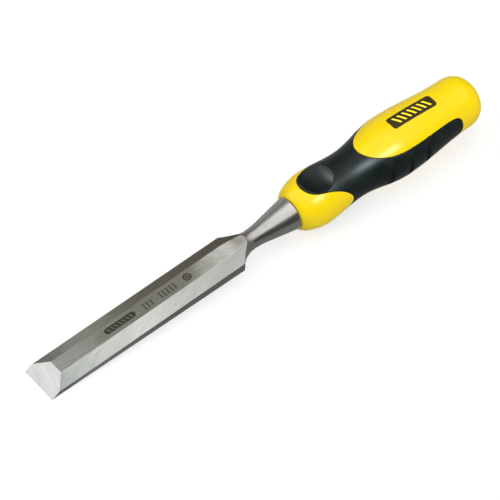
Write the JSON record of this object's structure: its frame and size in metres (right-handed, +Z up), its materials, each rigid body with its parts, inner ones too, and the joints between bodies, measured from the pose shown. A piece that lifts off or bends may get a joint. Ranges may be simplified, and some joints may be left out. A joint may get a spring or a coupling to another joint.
{
  "type": "bench chisel",
  "caption": "Bevel-edge bench chisel: ground steel blade with a conical bolster, yellow moulded plastic handle with a black soft grip and thumb dishes.",
  "frame": {"origin": "centre of the footprint, on the bench the tool lies on, bevel side up, resting on its cutting edge and on the lip of the lower thumb dish", "axes": "+X from the cutting edge to the butt, +Z up from the bench on the ground bevels' side, +Y across the blade; the tool's own axis is tilted up from X by about 3.5 degrees"},
  "size_m": [0.259, 0.032, 0.0325],
  "materials": {
    "steel": "ground flats with a fine lengthwise and crosswise scratch, polished bolster",
    "yellow_plastic": "glossy moulded hard plastic",
    "black_soft_plastic": "matte soft moulded grip",
    "dark_label": "satin printed film"
  },
  "bodies": {
    "root": {"blade": "steel", "handle_core": "yellow_plastic", "soft_grip": "black_soft_plastic", "label": "dark_label"}
  },
  "joints": []
}
